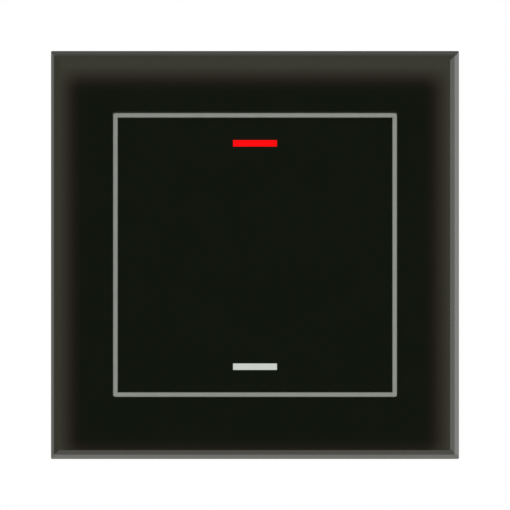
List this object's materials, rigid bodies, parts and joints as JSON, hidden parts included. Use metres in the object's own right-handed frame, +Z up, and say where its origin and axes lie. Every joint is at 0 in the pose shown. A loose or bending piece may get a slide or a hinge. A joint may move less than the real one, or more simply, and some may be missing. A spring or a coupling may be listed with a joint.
{
  "type": "light switch",
  "caption": "Two-gang touch light switch with a square black glass front, slim metal trim, red and white light bars, steel mounting yoke and rear relay module.",
  "frame": {"origin": "middle of the two wall box screw slots, on the wall's surface", "axes": "+X right and +Z up as seen from the room, -Y out of the wall towards the room"},
  "size_m": [0.086, 0.0362, 0.086],
  "materials": {
    "smoked_glass": "polished",
    "black_ink": "printed",
    "tape": "foam",
    "trim": "satin",
    "red_lens": "translucent",
    "white_lens": "translucent",
    "black_plastic": "fine grain",
    "grey_plastic": "fine grain",
    "zinc_steel": "zinc plated",
    "spring_steel": "nickel plated",
    "brass": "plain",
    "circuit_board": "solder mask",
    "clear_guide": "clear",
    "led_lens": "clear",
    "black_moulding": "moulded",
    "passive_ceramic": "matte",
    "soft_iron": "nickel plated",
    "ferrite": "matte",
    "winding_tape": "taped",
    "copper_winding": "enamelled",
    "capacitor_sleeve": "sleeved",
    "film_box": "moulded",
    "varistor_coat": "dipped",
    "fuse_case": "moulded",
    "relay_case": "moulded",
    "terminal_plastic": "moulded"
  },
  "bodies": {
    "base": {"mounting_yoke": "zinc_steel", "spring_clips": "spring_steel", "clip_rivets": "zinc_steel", "earth_terminal": "brass", "front_cover": "grey_plastic", "module_screws": "zinc_steel", "touch_board": "circuit_board", "board_screws": "zinc_steel", "touch_springs": "spring_steel", "light_guides": "clear_guide", "indicator_leds": "led_lens", "touch_chip": "black_moulding", "touch_passives": "passive_ceramic", "board_pins": "black_moulding", "board_socket": "black_moulding", "rear_housing": "grey_plastic", "housing_screws": "zinc_steel", "power_board": "circuit_board", "transformer_core": "ferrite", "transformer_coil": "winding_tape", "reservoir_capacitors": "capacitor_sleeve", "film_capacitor": "film_box", "varistor": "varistor_coat", "fuse": "fuse_case", "bridge_rectifier": "black_moulding", "terminal_block": "terminal_plastic", "terminal_bars": "brass", "left_relay_base": "black_moulding", "left_relay_frame": "soft_iron", "left_relay_coil": "copper_winding", "left_relay_contacts": "brass", "left_relay_case": "relay_case", "right_relay_base": "black_moulding", "right_relay_frame": "soft_iron", "right_relay_coil": "copper_winding", "right_relay_contacts": "brass", "right_relay_case": "relay_case"},
    "front_panel": {"glass_frame": "smoked_glass", "frame_ink": "black_ink", "frame_tape": "tape", "trim_ring": "trim", "touch_pane": "smoked_glass", "pane_ink": "black_ink", "pane_tape": "tape", "red_diffuser": "red_lens", "white_diffuser": "white_lens", "front_carrier": "black_plastic"},
    "earth_screw": {"earth_screw": "zinc_steel"},
    "left_relay_armature": {"left_relay_armature": "soft_iron"},
    "right_relay_armature": {"right_relay_armature": "soft_iron"},
    "terminal_screw_1": {"terminal_screw_1": "zinc_steel"},
    "terminal_cage_1": {"terminal_cage_1": "brass"},
    "terminal_screw_2": {"terminal_screw_2": "zinc_steel"},
    "terminal_cage_2": {"terminal_cage_2": "brass"},
    "terminal_screw_3": {"terminal_screw_3": "zinc_steel"},
    "terminal_cage_3": {"terminal_cage_3": "brass"},
    "terminal_screw_4": {"terminal_screw_4": "zinc_steel"},
    "terminal_cage_4": {"terminal_cage_4": "brass"}
  },
  "joints": [
    {"name": "front_pull_off", "type": "slide", "parent": "base", "child": "front_panel", "axis": [0, -1, 0], "range_m": [0, 0.03]},
    {"name": "earth_screw_drive", "type": "slide", "parent": "base", "child": "earth_screw", "axis": [0, -1, 0], "range_m": [0, 0.0027]},
    {"name": "terminal_cage_1_rise", "type": "slide", "parent": "base", "child": "terminal_cage_1", "axis": [0, 1, 0], "range_m": [0, 0.002]},
    {"name": "terminal_screw_1_turn", "type": "hinge", "parent": "base", "child": "terminal_screw_1", "pos_m": [-0.01143, 0.0178, -0.023], "axis": [0, -1, 0], "range_deg": [0, 1440]},
    {"name": "terminal_cage_2_rise", "type": "slide", "parent": "base", "child": "terminal_cage_2", "axis": [0, 1, 0], "range_m": [0, 0.002]},
    {"name": "terminal_screw_2_turn", "type": "hinge", "parent": "base", "child": "terminal_screw_2", "pos_m": [-0.00381, 0.0178, -0.023], "axis": [0, -1, 0], "range_deg": [0, 1440]},
    {"name": "terminal_cage_3_rise", "type": "slide", "parent": "base", "child": "terminal_cage_3", "axis": [0, 1, 0], "range_m": [0, 0.002]},
    {"name": "terminal_screw_3_turn", "type": "hinge", "parent": "base", "child": "terminal_screw_3", "pos_m": [0.00381, 0.0178, -0.023], "axis": [0, -1, 0], "range_deg": [0, 1440]},
    {"name": "terminal_cage_4_rise", "type": "slide", "parent": "base", "child": "terminal_cage_4", "axis": [0, 1, 0], "range_m": [0, 0.002]},
    {"name": "terminal_screw_4_turn", "type": "hinge", "parent": "base", "child": "terminal_screw_4", "pos_m": [0.01143, 0.0178, -0.023], "axis": [0, -1, 0], "range_deg": [0, 1440]},
    {"name": "left_relay_pull_in", "type": "hinge", "parent": "base", "child": "left_relay_armature", "pos_m": [-0.0165, 0.0194, -0.0129], "axis": [1, 0, 0], "range_deg": [0, 3], "stiffness_Nm_per_rad": 0.03, "springref_deg": -3.44},
    {"name": "right_relay_pull_in", "type": "hinge", "parent": "base", "child": "right_relay_armature", "pos_m": [0.0165, 0.0194, -0.0129], "axis": [1, 0, 0], "range_deg": [0, 3], "stiffness_Nm_per_rad": 0.03, "springref_deg": -3.44}
  ],
  "couplings": [
    {"joint": "terminal_screw_1_turn", "follows": "terminal_cage_1_rise", "rad_per_m": 12566},
    {"joint": "terminal_screw_2_turn", "follows": "terminal_cage_2_rise", "rad_per_m": 12566},
    {"joint": "terminal_screw_3_turn", "follows": "terminal_cage_3_rise", "rad_per_m": 12566},
    {"joint": "terminal_screw_4_turn", "follows": "terminal_cage_4_rise", "rad_per_m": 12566}
  ]
}
